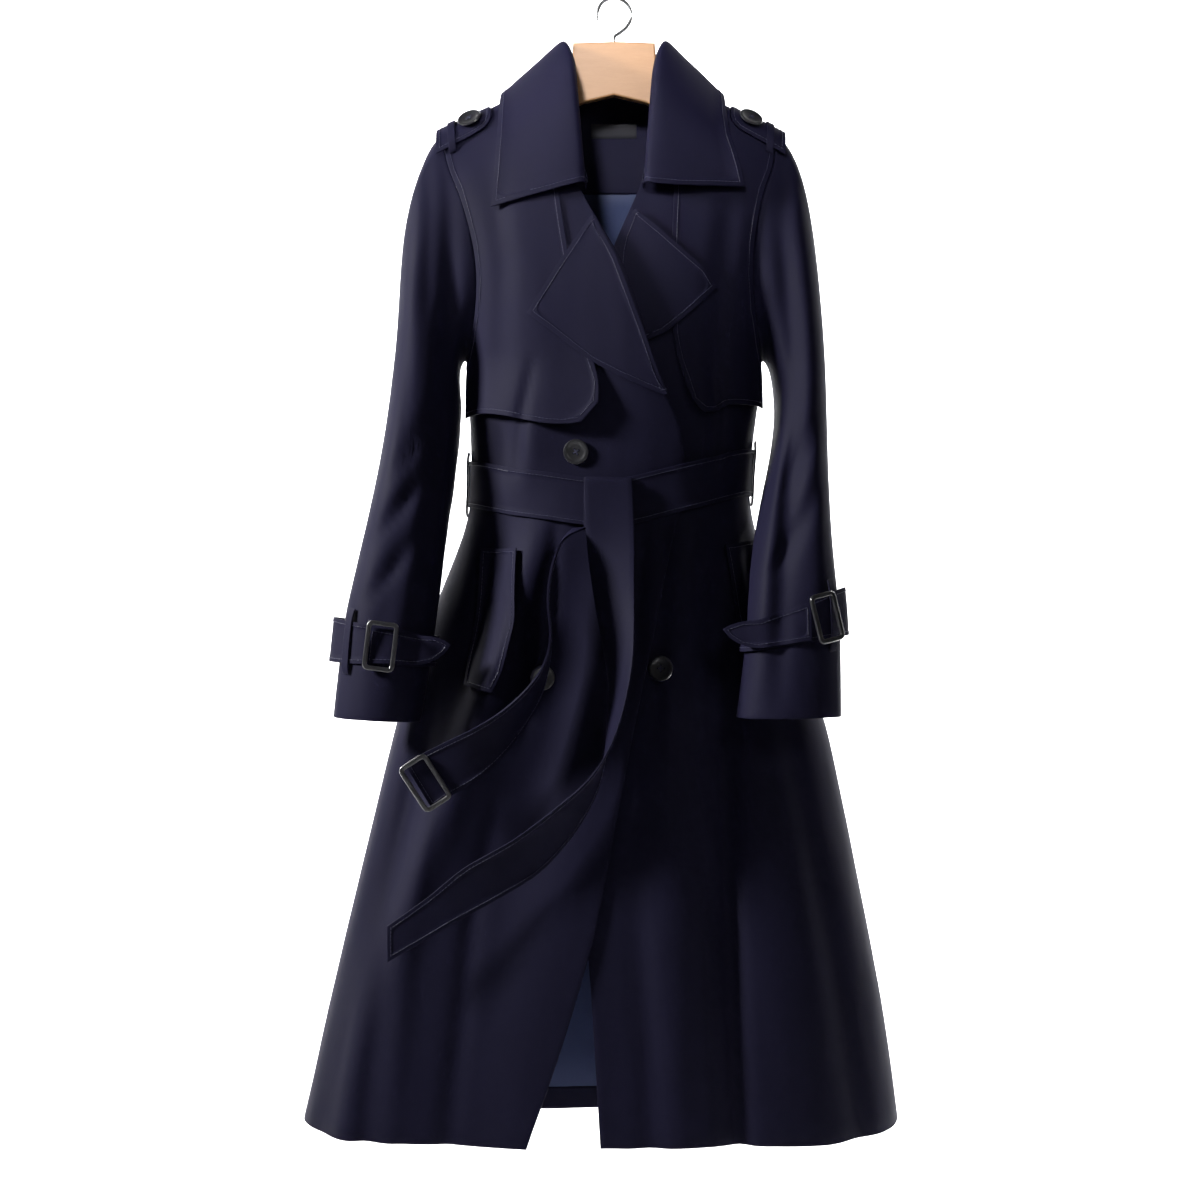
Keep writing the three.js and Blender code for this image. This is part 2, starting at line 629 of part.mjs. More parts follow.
// A point on the round of the shoulder: `along` is the distance over the seam toward the front.
function onShoulder(side, distance, along, lift) {
  const slope = side < 0 ? SHOULDER_SLOPE_RIGHT : SHOULDER_SLOPE_LEFT;
  const turn = along / SHOULDER_ROUND;
  const out = new THREE.Vector3(side * slope * Math.cos(turn), -Math.sin(turn), Math.cos(turn)).normalize();
  const drop = NECK_DROP + slope * (distance - NECK_HALF) + SHOULDER_ROUND * (1 - Math.cos(turn));
  const point = new THREE.Vector3(side * distance, -SHOULDER_ROUND * Math.sin(turn), -drop);
  return point.addScaledVector(out, lift);
}

function shoulderBand(side, distances, halfWidths, lifts, wall) {
  const steps = [-1, -0.6, -0.2, 0.2, 0.6, 1];
  const grid = steps.map((step) => distances.map((distance, k) => {
    return onShoulder(side, distance, STRAP_FORWARD + step * halfWidths[k], lifts(step));
  }));
  return sheet(grid, wall, -side).geometry;
}

const STRAP_LIFT = 5.7;
const STRAP_FORWARD = 24; // from the shoulder seam to the middle of the strap, over the front
const shoulderEnds = [[-1, 'right', 192, 154], [1, 'left', 185, 146]];
shoulderEnds.forEach(([side, name, tip, buttonAt]) => {
  const distances = [tip - 60, tip - 57.5, tip - 51, tip - 40, tip - 27, tip - 14, tip];
  const halfWidths = [7, 13, 17, 18, 18.5, 19, 20];
  addMesh(`epaulette_${name}`, shoulderBand(side, distances, halfWidths, () => STRAP_LIFT, 1.8), NAVY);
  const loopLift = (step) => (Math.abs(step) > 0.9 ? 6.2 : 8.6);
  const loop = shoulderBand(side, [tip - 21, tip - 13], [25.5, 25.5], loopLift, 1.4);
  addMesh(`epaulette_loop_${name}`, loop, NAVY);
  const seat = onShoulder(side, buttonAt, STRAP_FORWARD, STRAP_LIFT + 0.5);
  const above = onShoulder(side, buttonAt, STRAP_FORWARD, STRAP_LIFT + 1.5);
  addButton(`button_epaulette_${name}`, seat, above.sub(seat));
});

// A button: a disc with a raised rim, whose back lies at `seat` and whose face looks along `out`.
function addButton(name, seat, out) {
  const r = BUTTON_WIDE / 2;
  const t = BUTTON_THICK;
  const outline = [[0, 0], [r - 1.5, 0], [r, 1.2], [r, t - 1.2], [r - 1.2, t], [r - 2.6, t], [r - 4.4, t - 1], [0, t - 1]];
  const profile = outline.map(([x, y]) => new THREE.Vector2(x, y));
  const mesh = addMesh(name, new THREE.LatheGeometry(profile, 14), HORN);
  mesh.quaternion.setFromUnitVectors(new THREE.Vector3(0, 1, 0), out.normalize());
  mesh.position.copy(seat);
}

// Buttons on the fronts: name, surface, x, drop, lift of the button's back
[
  ['button_waist', overY, -40, 503, 0.5],
  ['button_skirt_right', overY, -77, 742, 1.6],
  ['button_skirt_left', frontY, 49, 732, 0.4],
].forEach(([name, surface, x, drop, lift]) => {
  const q = levelAt(x, drop);
  const seat = onCloth(surface, x, q, lift);
  addButton(name, seat, onCloth(surface, x, q, lift + 1).sub(seat));
});

// The belt round the waist. Its middle line sags toward the knot.
const BELT_LIFT = 3.4;
const KNOT_X = -7;
const beltDrop = through([[-160, 533], [-90, 546], [KNOT_X, 557], [50, 546], [142, 521]]);
function beltFront(x, q) {
  return frontY(x, q) - 7 * ramp(-155, -90, x) * ramp(140, 80, x);
}
function beltPoint(turn, step, lift) {
  const guess = middleOf(540) + halfOf(540) * Math.cos(turn);
  const forward = Math.sin(turn) < 0;
  const middleDrop = forward ? beltDrop(guess) : lerp(521, 533, (1 - Math.cos(turn)) / 2);
  const q = middleDrop + (step * BELT_WIDE) / 2;
  const x = middleOf(q) + halfOf(q) * Math.cos(turn);
  const surface = forward ? beltFront : backY;
  const out = new THREE.Vector3(Math.cos(turn), forward ? -1 : 1, 0);
  out.y *= Math.abs(Math.sin(turn)) ** 0.8;
  out.normalize();
  return new THREE.Vector3(x, surface(x, q), -q).addScaledVector(out, lift);
}
const BELT_COLUMNS = 48;
const beltTurns = Array.from({ length: BELT_COLUMNS }, (unused, j) => (2 * Math.PI * j) / BELT_COLUMNS);
const beltGrid = [-1, 0, 1].map((step) => beltTurns.map((turn) => beltPoint(turn, step, BELT_LIFT)));
addMesh('belt_waist', sheet(beltGrid, CLOTH, -1, { round: true }).geometry, NAVY);

// Loops that hold the belt at the side seams
[[-1, 'right', Math.PI], [1, 'left', 0]].forEach(([side, name, turn]) => {
  const steps = [-1.42, -1.2, -0.6, 0, 0.6, 1.2, 1.42];
  const lifts = [3.2, 5.2, 5.6, 5.6, 5.6, 5.2, 3.2];
  const grid = steps.map((step, i) => [-0.1, 0, 0.1].map((aside) => beltPoint(turn + aside, step, lifts[i])));
  addMesh(`belt_loop_${name}`, sheet(grid, 1.6, -1).geometry, NAVY);
});

// The knot under the belt's hanging end
const knotGrid = [-1, -0.6, 0, 0.6, 1].map((down) => [-1, -0.5, 0, 0.5, 1].map((aside) => {
  const x = KNOT_X + aside * 25;
  const drop = 557 + down * 27;
  return new THREE.Vector3(x, beltFront(x, drop) - BELT_LIFT - 5.8 + 2.5 * (aside ** 2 + down ** 2) / 2, -drop);
}));
addMesh('belt_knot', sheet(knotGrid, 3, -1).geometry, NAVY);

// A ribbon between two edge lines of [x, y, drop]
function ribbon(firstEdge, secondEdge, rows, wall, facing) {
  const line = (edge) => new THREE.CatmullRomCurve3(edge.map(([x, y, drop]) => new THREE.Vector3(x, y, -drop)));
  const first = line(firstEdge);
  const second = line(secondEdge);
  const grid = [];
  for (let i = 0; i <= rows; i += 1) {
    const from = first.getPoint(i / rows);
    const to = second.getPoint(i / rows);
    grid.push([0, 0.5, 1].map((share) => from.clone().lerp(to, share)));
  }
  return sheet(grid, wall, facing).geometry;
}

// The belt's plain end hangs down, turns over once and swings out to the wearer's right.
addMesh('belt_tail_plain', ribbon(
  [
    [-32, -96, 533], [-29, -99, 597], [-21, -104, 660], [-12, -103, 712], [-7, -104, 754], [-9, -105, 796],
    [-16, -108, 850], [-41, -110, 900], [-78, -114, 942], [-136, -118, 979], [-178, -120, 1003], [-237, -118, 1038],
  ],
  [
    [18, -96, 531], [20, -105, 587], [19, -128, 660], [18, -140, 712], [12, -148, 754], [-3, -152, 804],
    [-24, -153, 838], [-57, -146, 869], [-99, -136, 902], [-151, -128, 934], [-193, -124, 968], [-237, -121, 1000],
  ],
  38,
  CLOTH,
  -1,
), NAVY);

// The end with the buckle hangs edge on and swings out higher up.
addMesh('belt_tail_buckle', ribbon(
  [
    [-44, -91, 585], [-56, -97, 602], [-68, -99, 655], [-65, -100, 702], [-73, -102, 754], [-101, -108, 804],
    [-137, -114, 843], [-170, -117, 864], [-190, -118.5, 877],
  ],
  [
    [-30, -92, 584.8], [-56, -124, 602], [-68, -144, 655], [-65, -146, 702], [-78, -144, 738], [-120, -136, 777],
    [-162, -128, 801], [-198, -123, 819], [-218, -122, 832],
  ],
  24,
  CLOTH,
  1,
), NAVY);

// A rectangular buckle frame with round corners, lying flat: `long` along the strap, `wide` across it.
const BUCKLE_BAR = 5;
const BUCKLE_THICK = 3.6;
function buckleFrame(long, wide) {
  const loop = (halfX, halfY, radius) => {
    const points = [];
    [[1, 1, 0], [-1, 1, 1], [-1, -1, 2], [1, -1, 3]].forEach(([x, y, quarter]) => {
      [0, 1 / 3, 2 / 3, 1].forEach((share) => {
        const turn = ((quarter + share) * Math.PI) / 2;
        const px = x * (halfX - radius) + radius * Math.cos(turn);
        const py = y * (halfY - radius) + radius * Math.sin(turn);
        points.push(new THREE.Vector3(px, py, BUCKLE_THICK));
      });
    });
    return points;
  };
  const outer = loop(long / 2, wide / 2, 6);
  const inner = loop(long / 2 - BUCKLE_BAR, wide / 2 - BUCKLE_BAR, 2);
  return sheet([outer, inner], BUCKLE_THICK, 1, { round: true }).geometry;
}

// A buckle with its back at `seat`, its length along `along` and its face looking along `out`
function addBuckle(name, seat, along, out, long, wide) {
  const mesh = addMesh(name, buckleFrame(long, wide), HORN);
  const z = out.clone().normalize();
  const x = along.clone().addScaledVector(z, -along.dot(z)).normalize();
  const y = z.clone().cross(x);
  mesh.quaternion.setFromRotationMatrix(new THREE.Matrix4().makeBasis(x, y, z));
  mesh.position.copy(seat);
}
addBuckle(
  'belt_buckle',
  new THREE.Vector3(-197, -121.1, -850),
  new THREE.Vector3(-0.85, 0, -0.54),
  new THREE.Vector3(0.068, -1, -0.069),
  34,
  56,
);

// Straps round the cuffs, each with its free end, keeper loop and buckle
const cuffs = [
  {
    side: -1,
    name: 'right',
    rings: SLEEVE_RIGHT,
    high: 10.95,
    low: 11.95,
    bulge: 10,
    tip: [-171, -112, 707],
    buckleTurn: 1.52,
    buckleLift: 7,
  },
  {
    side: 1,
    name: 'left',
    rings: SLEEVE_LEFT,
    high: 10.3,
    low: 11.35,
    bulge: 8,
    tip: [112, -128, 690],
    buckleTurn: 1,
    buckleLift: 7.7,
  },
];
cuffs.forEach(({ side, name, rings, high, low, bulge, tip, buckleTurn, buckleLift }) => {
  const place = (step, turn, lift) => sleevePoint(side, rings, lerp(high, low, step), turn, lift);
  const strapLift = (turn) => 2.8 + bulge * hump(Math.atan2(Math.sin(turn), Math.cos(turn)), 0, 0.35);
  const turns = Array.from({ length: 28 }, (unused, k) => (2 * Math.PI * k) / 28);
  const strapGrid = [0, 0.5, 1].map((step) => turns.map((turn) => place(step, turn, strapLift(turn))));
  addMesh(`cuff_strap_${name}`, sheet(strapGrid, CLOTH, side, { round: true }).geometry, NAVY);

  // The free end runs from under the buckle over the front and points past the inner side.
  const endTurns = [1.25, 1.45, 1.65, 1.85, 2.05, 2.25];
  const point = new THREE.Vector3(tip[0], tip[1], -tip[2]);
  const endGrid = [0.04, 0.5, 0.96].map((step) => {
    const row = endTurns.map((turn) => place(step, turn, 5.2));
    const last = row[row.length - 1];
    const spread = step === 0.5 ? 1 : 0.82;
    row.push(last.clone().lerp(point, spread * 0.6).setZ(lerp(last.z, point.z, 0.15)));
    row.push(last.clone().lerp(point, spread).setZ(lerp(last.z, point.z, step === 0.5 ? 1 : 0.55)));
    return row;
  });
  addMesh(`cuff_strap_end_${name}`, sheet(endGrid, CLOTH, side).geometry, NAVY);

  // The keeper loop stands between the buckle and the outer side.
  const loopTurns = [0.62, 0.72, 0.82];
  const loopGrid = [-0.3, -0.12, 0.5, 1.12, 1.3].map((step) => loopTurns.map((turn) => {
    return place(step, turn, step < -0.2 || step > 1.2 ? 2.3 : strapLift(turn) + 2.2);
  }));
  addMesh(`cuff_loop_${name}`, sheet(loopGrid, 1.6, side).geometry, NAVY);

  const seat = place(0.5, buckleTurn, buckleLift);
  const out = place(0.5, buckleTurn, buckleLift + 3).sub(seat);
  const along = place(0.5, buckleTurn + 0.1, buckleLift).sub(seat);
  addBuckle(`cuff_buckle_${name}`, seat, along, out, 34, 52);
});

// Pocket welts
addMesh('pocket_welt_right', band(
  overY,
  [[0, -142, 605], [0.5, -149, 681], [1, -157, 752]],
  [[0, -101, 605], [0.5, -104, 681], [0.9, -121, 740], [1, -130, 757]],
  () => 4.5,
  8,
  5,
  1.4,
  -1,
), NAVY);
addMesh('pocket_welt_left', band(
  frontY,
  [[0, 152, 596], [0.5, 166, 673], [1, 178, 747]],
  [[0, 116, 602], [0.5, 131, 681], [1, 144, 755]],
  () => 5.2,
  8,
  4,
  1.2,
  1,
), NAVY);

// Inside the back: the neck facing, the label on it, the lining and the hem turned up behind it
function insideBack(levels, halfWidth, columns, inset, wall) {
  const grid = levels.map((q) => {
    const row = [];
    for (let j = 0; j <= columns; j += 1) {
      const x = middleOf(Math.max(q, 120)) + lerp(-1, 1, j / columns) * halfWidth(q);
      row.push(new THREE.Vector3(x, backY(x, q) - CLOTH - inset(q), -dropAt(x, q)));
    }
    return row;
  });
  return sheet(grid, wall, -1).geometry;
}
const facingHalf = through([[90, 44], [120, 46], [160, 50], [206, 50]]);
const facingInset = (q) => 4.4 + 1.5 * ramp(125, 96, q);
addMesh('neck_facing', insideBack([97, 104, 112, 122, 140, 160, 182, 205], facingHalf, 8, facingInset, 1.6), NAVY);
addMesh('label', insideBack([127, 143], () => 25, 6, () => 5.4, 0.6), { ...NAVY, color: 0x15151c });
const liningHalf = (q) => Math.min(halfOf(q) * 0.62, halfOf(q) - 60);
const liningInset = (q) => lerp(3, 5.4, ramp(206, 420, q));
const liningLevels = [206, 260, 330, 410, 490, 570, 640, 720, 820, 940, 1070, 1207];
addMesh('lining', insideBack(liningLevels, liningHalf, 10, liningInset, LINING), SATIN);
addMesh('hem_facing', insideBack([1208, 1219, 1231], liningHalf, 10, () => 4.6, 1.6), NAVY);

// The wooden hanger, inside the shoulders, and its wire hook
const PLATE_HALF = 46;
const PLATE_TOP = 47;
const WOOD_BELOW = 3.3; // from the outer face of the cloth to the wood under it, straight down
const underCloth = (slope, distance) => NECK_DROP + slope * (distance - NECK_HALF) + WOOD_BELOW;
function arm(side, slope, tip) {
  return [
    [PLATE_HALF - 1, PLATE_TOP + 1.5],
    [PLATE_HALF, PLATE_TOP + 18],
    [PLATE_HALF + 2, 86],
    [PLATE_HALF + 9, 94.5],
    [NECK_HALF + 4, underCloth(slope, NECK_HALF + 6)],
    [tip - 8, underCloth(slope, tip - 8)],
    [tip - 2, underCloth(slope, tip - 8) + 6],
    [tip, underCloth(slope, tip - 8) + 14],
    [tip - 6, underCloth(slope, tip - 8) + 21],
    [NECK_HALF + 40, underCloth(slope, NECK_HALF + 40) + 29],
    [NECK_HALF, underCloth(slope, NECK_HALF) + 34],
    [34, 114],
  ].map(([x, drop]) => new THREE.Vector2(side * x, -drop));
}
const rightArm = arm(-1, SHOULDER_SLOPE_RIGHT, 178);
const leftArm = arm(1, SHOULDER_SLOPE_LEFT, 169);
const woodOutline = new THREE.Shape([
  new THREE.Vector2(0, -PLATE_TOP),
  ...leftArm,
  new THREE.Vector2(0, -106),
  ...rightArm.reverse(),
]);
const woodSettings = { depth: WOOD_THICK - 4, bevelEnabled: true, bevelThickness: 2, bevelSize: 2, bevelOffset: -2 };
const wood = new THREE.ExtrudeGeometry(woodOutline, { ...woodSettings, bevelSegments: 2 });
const hanger = addMesh('hanger', wood, WOOD);
hanger.rotation.x = Math.PI / 2;
hanger.position.y = WOOD_THICK / 2 - 2;

const hookLine = new THREE.CatmullRomCurve3([
  [0, -PLATE_TOP + 0.4], [0, -41], [7, -36], [15, -28.5], [19, -17], [13.4, -3.4], [0, 2], [-13.4, -3.4],
  [-19, -17], [-18, -23],
].map(([x, z]) => new THREE.Vector3(x, 0, z)));
const wireShape = new THREE.Shape();
wireShape.absarc(0, 0, WIRE / 2, 0, 2 * Math.PI);
const hook = new THREE.ExtrudeGeometry(wireShape, { steps: 26, curveSegments: 3, extrudePath: hookLine });
addMesh('hanger_hook', hook, STEEL);

export default coat;
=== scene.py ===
import bmesh
import bpy
import numpy as np
from mathutils import Matrix, Vector, noise
from mathutils.bvhtree import BVHTree


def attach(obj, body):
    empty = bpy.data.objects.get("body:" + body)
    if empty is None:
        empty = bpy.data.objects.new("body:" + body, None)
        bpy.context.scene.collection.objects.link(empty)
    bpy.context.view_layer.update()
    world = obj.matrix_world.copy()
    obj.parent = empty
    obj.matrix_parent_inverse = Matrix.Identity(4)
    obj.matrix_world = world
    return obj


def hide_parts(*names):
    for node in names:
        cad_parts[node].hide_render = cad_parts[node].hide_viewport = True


# Camera
# The coat hangs from its hook at the origin and is seen from straight ahead, 2.2 m away.
# One pixel of the 1200 pixel picture is 1.1 mm at the hanger.
AWAY = 2.2
PIXEL = 0.0011
view = bpy.data.cameras.new("camera")
view.sensor_width = 36.0
view.lens = view.sensor_width * AWAY / (1200 * PIXEL)
camera = bpy.data.objects.new("camera", view)
camera.location = (-14 * PIXEL, -AWAY, -600 * PIXEL)
camera.rotation_euler = (np.pi / 2, 0.0, 0.0)
bpy.context.scene.collection.objects.link(camera)
bpy.context.scene.camera = camera

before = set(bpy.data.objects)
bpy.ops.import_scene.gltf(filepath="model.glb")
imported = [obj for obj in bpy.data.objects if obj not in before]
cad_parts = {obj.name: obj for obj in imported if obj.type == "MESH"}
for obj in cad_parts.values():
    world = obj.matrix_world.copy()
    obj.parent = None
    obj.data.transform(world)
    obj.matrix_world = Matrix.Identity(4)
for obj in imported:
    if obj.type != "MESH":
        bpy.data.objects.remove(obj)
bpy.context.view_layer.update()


# Back of the coat
# The back is cut in one from a smooth navy gabardine with a soft satin face.
# It is pressed flat and sewn to the fronts at the side seams.
class Value:
    """An output of a node. A sum, difference or product of two adds the Math node."""

    def __init__(self, shader, socket):
        self.shader = shader
        self.socket = socket

    def math(self, operation, other):
        settings = {"operation": operation}
        return self.shader.node("ShaderNodeMath", settings, {0: self, 1: other})

    def __add__(self, other):
        return self.math("ADD", other)

    def __sub__(self, other):
        return self.math("SUBTRACT", other)

    def __mul__(self, other):
        return self.math("MULTIPLY", other)

    __radd__ = __add__
    __rmul__ = __mul__


class Shader:
    """A material with one Principled surface, built node by node."""

    def __init__(self, name):
        self.material = bpy.data.materials.new(name)
        self.material.use_nodes = True
        self.tree = self.material.node_tree
        self.surface = self.tree.nodes["Principled BSDF"]
        place = self.tree.nodes.new("ShaderNodeTexCoord")
        self.place = Value(self, place.outputs["Object"])

    def fill(self, node, inputs):
        for name, value in inputs.items():
            if isinstance(value, Value):
                self.tree.links.new(value.socket, node.inputs[name])
            else:
                node.inputs[name].default_value = value

    def node(self, kind, settings, inputs, output=0):
        node = self.tree.nodes.new(kind)
        for name, value in settings.items():
            setattr(node, name, value)
        self.fill(node, inputs)
        return Value(self, node.outputs[output])

    def stretched(self, scale, turn=(0.0, 0.0, 0.0)):
        inputs = {"Vector": self.place, "Scale": scale, "Rotation": turn}
        return self.node("ShaderNodeMapping", {}, inputs)

    def mottle(self, where, scale, detail=2.0, roughness=0.5):
        inputs = {"Vector": where, "Scale": scale, "Detail": detail, "Roughness": roughness}
        return self.node("ShaderNodeTexNoise", {}, inputs)

    def two_tone(self, share, low, high):
        inputs = {"Factor": share, 6: (*low, 1.0), 7: (*high, 1.0)}
        return self.node("ShaderNodeMix", {"data_type": "RGBA"}, inputs, 2)

    def relief(self, height, strength, distance, below=None):
        inputs = {"Height": height, "Strength": strength, "Distance": distance}
        if below:
            inputs["Normal"] = below
        return self.node("ShaderNodeBump", {}, inputs)

    def done(self, inputs):
        self.fill(self.surface, inputs)
        return self.material


def woven_cloth(name, dark, light, roughness, sheen, tint):
    """A fine steep twill: ribs 1.2 mm apart, small slubs, and broad soft unevenness."""
    shader = Shader(name)
    ribs = shader.node(
        "ShaderNodeTexWave",
        {"wave_type": "BANDS", "bands_direction": "X", "wave_profile": "SIN"},
        {
            "Vector": shader.stretched((1.0, 0.8, 1.0), (0.0, 0.9, 0.5)),
            "Scale": 260.0,
            "Distortion": 1.5,
            "Detail": 1.0,
        },
    )
    slubs = shader.mottle(shader.stretched((1.0, 1.0, 0.12)), 900.0)
    clouds = shader.mottle(shader.place, 9.0, 3.0)
    creases = shader.mottle(shader.stretched((1.0, 1.0, 0.45), (0.0, 0.3, 0.2)), 38.0, 3.0)
    threads = ribs * 0.5 + slubs * 0.5
    woven = shader.relief(threads, 0.22, 0.0002)
    return shader.done(
        {
            "Base Color": shader.two_tone(threads * 0.6 + clouds * 0.4, dark, light),
            "Roughness": roughness + 0.14 * clouds + 0.06 * threads - 0.1,
            "Normal": shader.relief(creases, 0.1, 0.004, woven),
            "Specular IOR Level": 0.1,
            "Sheen Weight": sheen,
            "Sheen Roughness": 0.35,
            "Sheen Tint": (*tint, 1.0),
        }
    )


def sewing_thread():
    """Polished thread of the cloth's colour, a shade lighter and glossier than the twill."""
    shader = Shader("navy_thread")
    twist = shader.mottle(shader.place, 700.0)
    gloss = shader.mottle(shader.place, 1500.0)
    return shader.done(
        {
            "Base Color": shader.two_tone(twist, (0.012, 0.012, 0.03), (0.03, 0.03, 0.07)),
            "Roughness": 0.5 + 0.2 * gloss,
        }
    )


NAVY = woven_cloth(
    "navy_gabardine", (0.0024, 0.0021, 0.0085), (0.0068, 0.006, 0.0225), 0.7, 0.02, (0.55, 0.5, 0.95)
)
THREAD = sewing_thread()

# The middle of the body: height, and how far it lies from the hanger's plane.
BODY_MIDDLE = ((-0.12, 0.0), (-0.54, 0.0), (-0.79, 0.024), (-1.24, 0.05))
# Creases of the body: height and x of each line, its width and its depth.
# The last column is -1 for the front and 1 for the back.
BODY_CREASES = (
    # gathers under the belt
    (((-0.57, -0.130), (-0.66, -0.140), (-0.78, -0.158)), 0.007, -0.005, -1),
    (((-0.57, -0.062), (-0.68, -0.068), (-0.82, -0.100)), 0.007, -0.006, -1),
    (((-0.57, 0.030), (-0.66, 0.026), (-0.75, 0.022)), 0.006, -0.003, -1),
    (((-0.57, 0.056), (-0.68, 0.050), (-0.84, 0.040)), 0.007, -0.004, -1),
    (((-0.57, 0.104), (-0.70, 0.100), (-0.86, 0.094)), 0.008, -0.005, -1),
    (((-0.57, 0.136), (-0.64, 0.148), (-0.72, 0.170)), 0.007, -0.004, -1),
    # long hollows and ridges of the skirt
    (((-0.68, -0.180), (-0.82, -0.208), (-0.98, -0.243), (-1.36, -0.275)), 0.013, -0.009, -1),
    (((-0.74, -0.190), (-0.90, -0.200), (-1.04, -0.222), (-1.36, -0.245)), 0.012, 0.004, -1),
    (((-0.86, -0.120), (-1.00, -0.150), (-1.36, -0.190)), 0.011, -0.005, -1),
    (((-0.56, 0.116), (-0.80, 0.118), (-1.00, 0.122), (-1.40, 0.140)), 0.011, -0.010, -1),
    (((-0.56, 0.082), (-0.80, 0.086), (-1.00, 0.094), (-1.40, 0.108)), 0.012, 0.004, -1),
    (((-0.76, 0.180), (-0.90, 0.205), (-1.05, 0.235), (-1.36, 0.280)), 0.016, -0.008, -1),
    (((-0.94, 0.020), (-1.10, 0.034), (-1.36, 0.044)), 0.013, -0.004, -1),
    # the chest under the shoulders, and the waist over the belt
    (((-0.17, -0.135), (-0.30, -0.118), (-0.45, -0.122)), 0.014, -0.004, -1),
    (((-0.20, 0.130), (-0.32, 0.112), (-0.46, 0.106)), 0.013, -0.004, -1),
    (((-0.40, -0.085), (-0.46, -0.098), (-0.53, -0.104)), 0.006, -0.004, -1),
    (((-0.40, 0.100), (-0.46, 0.108), (-0.53, 0.104)), 0.006, -0.005, -1),
    # the back
    (((-0.57, -0.100), (-0.75, -0.112), (-0.95, -0.135)), 0.010, -0.005, 1),
    (((-0.57, -0.036), (-0.80, -0.044), (-1.36, -0.070)), 0.013, -0.007, 1),
    (((-0.57, 0.042), (-0.78, 0.050), (-1.36, 0.085)), 0.012, -0.006, 1),
    (((-0.57, 0.108), (-0.72, 0.118), (-0.98, 0.150)), 0.010, -0.005, 1),
    (((-0.80, -0.190), (-1.00, -0.215), (-1.36, -0.262)), 0.016, -0.007, 1),
    (((-0.82, 0.186), (-1.00, 0.208), (-1.36, 0.250)), 0.015, -0.006, 1),
    (((-0.24, -0.120), (-0.36, -0.100), (-0.52, -0.086)), 0.014, -0.004, 1),
    (((-0.22, 0.122), (-0.36, 0.104), (-0.52, 0.092)), 0.014, -0.004, 1),
)
# Distance from the middle at which a crease has its full depth.
FULL_DEPTH = 0.03
# Unevenness of hanging cloth: its scale across, its scale upright, and its reach.
BROAD_WAVES = (13.0, 3.2, 0.0016)
SMALL_WAVES = (42.0, 11.0, 0.0005)
noise.seed_set(4)


def wave(place, across, upright, reach):
    x, y, z = place
    return noise.noise_vector(Vector((x * across, y * across, z * upright))) * reach


def hung(points, middle, creases):
    """Pressed cloth as it hangs: moved by its creases, and by soft upright waves all over."""
    points = np.array(points, dtype=float).reshape(-1, 3)
    flat = points.copy()
    x, y, z = flat.T
    drop = -z
    if creases:
        heights, depths = zip(*middle)
        across = np.interp(drop, [-height for height in heights], depths) - y
    for line, width, depth, side in creases:
        heights, places = zip(*line)
        share = np.clip((heights[0] - z) / (heights[0] - heights[-1]), 0.0, 1.0)
        where = np.interp(drop, [-height for height in heights], places)
        facing = np.clip(-side * across / FULL_DEPTH, 0.0, 1.0)
        push = depth * facing * np.sin(np.pi * share) ** 0.7 * np.exp(-(((x - where) / width) ** 2))
        points[:, 1] += side * push
    for point, place in zip(points, flat):
        point += wave(place, *BROAD_WAVES) + wave(place, *SMALL_WAVES)
    return points


def is_wall(face, wall):
    """True on the narrow faces that close the edge of a sheet of cloth."""
    return sum(edge.calc_length() < wall * 1.3 for edge in face.edges) >= 2


def outer_faces(shape, rim, facing):
    """The side of the sheet that looks along `facing`, or away from its own middle."""
    middle = sum((vertex.co for vertex in shape.verts), Vector()) / len(shape.verts)
    sides = []
    left = {face: True for face in shape.faces if face not in rim}
    while left:
        side = [left.popitem()[0]]
        for face in side:
            for edge in face.edges:
                for other in edge.link_faces:
                    if left.pop(other, False):
                        side.append(other)
        sides.append(side)

    def looks_out(side):
        total = 0.0
        for face in side:
            out = Vector(facing) if facing else face.calc_center_median() - middle
            total += face.calc_area() * face.normal.dot(out)
        return total

    return max(sides, key=looks_out)


def in_order(edges):
    """The points of each closed line that these edges make."""
    left = {edge: True for edge in edges}
    lines = []
    while left:
        first, last = left.popitem()[0].verts
        line = [first.co.copy(), last.co.copy()]
        following = True
        while following:
            following = next((other for other in last.link_edges if other in left), None)
            if following:
                del left[following]
                last = following.other_vert(last)
                line.append(last.co.copy())
        lines.append(line)
    return lines


def squared(name):
    """A copy of a CAD node with its triangles joined into square faces."""
    shape = bmesh.new()
    shape.from_mesh(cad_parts[name].data)
    bmesh.ops.remove_doubles(shape, verts=shape.verts, dist=0.00002)
    bmesh.ops.join_triangles(
        shape,
        faces=shape.faces,
        angle_face_threshold=np.pi,
        angle_shape_threshold=np.pi,
    )
    return shape


def cut_cloth(name, wall):
    """A cloth node in square faces, with its rims kept sharp."""
    shape = squared(name)
    rim = {face for face in shape.faces if is_wall(face, wall)}
    crease = shape.edges.layers.float.new("crease_edge")
    for edge in shape.edges:
        walls = sum(face in rim for face in edge.link_faces)
        corner = walls == 2 and edge.calc_face_angle(0.0) > 0.6
        edge[crease] = 1.0 if walls == 1 or corner else 0.0
    return shape


def press_seam(shape, wall, inside, facing=(0.0, -1.0, 0.0)):
    """Presses the line of the topstitching into the cloth, and gives the line's points."""
    rim = {face for face in shape.faces if is_wall(face, wall)}
    outer = outer_faces(shape, rim, facing)
    bmesh.ops.inset_region(
        shape,
        faces=outer,
        thickness=inside,
        use_boundary=True,
        use_even_offset=True,
    )
    inner = set(outer)
    sewn = [edge for edge in shape.edges if sum(face in inner for face in edge.link_faces) == 1]
    lines = in_order(sewn)
    bmesh.ops.inset_region(shape, faces=outer, thickness=0.001, depth=-0.0004)
    return lines


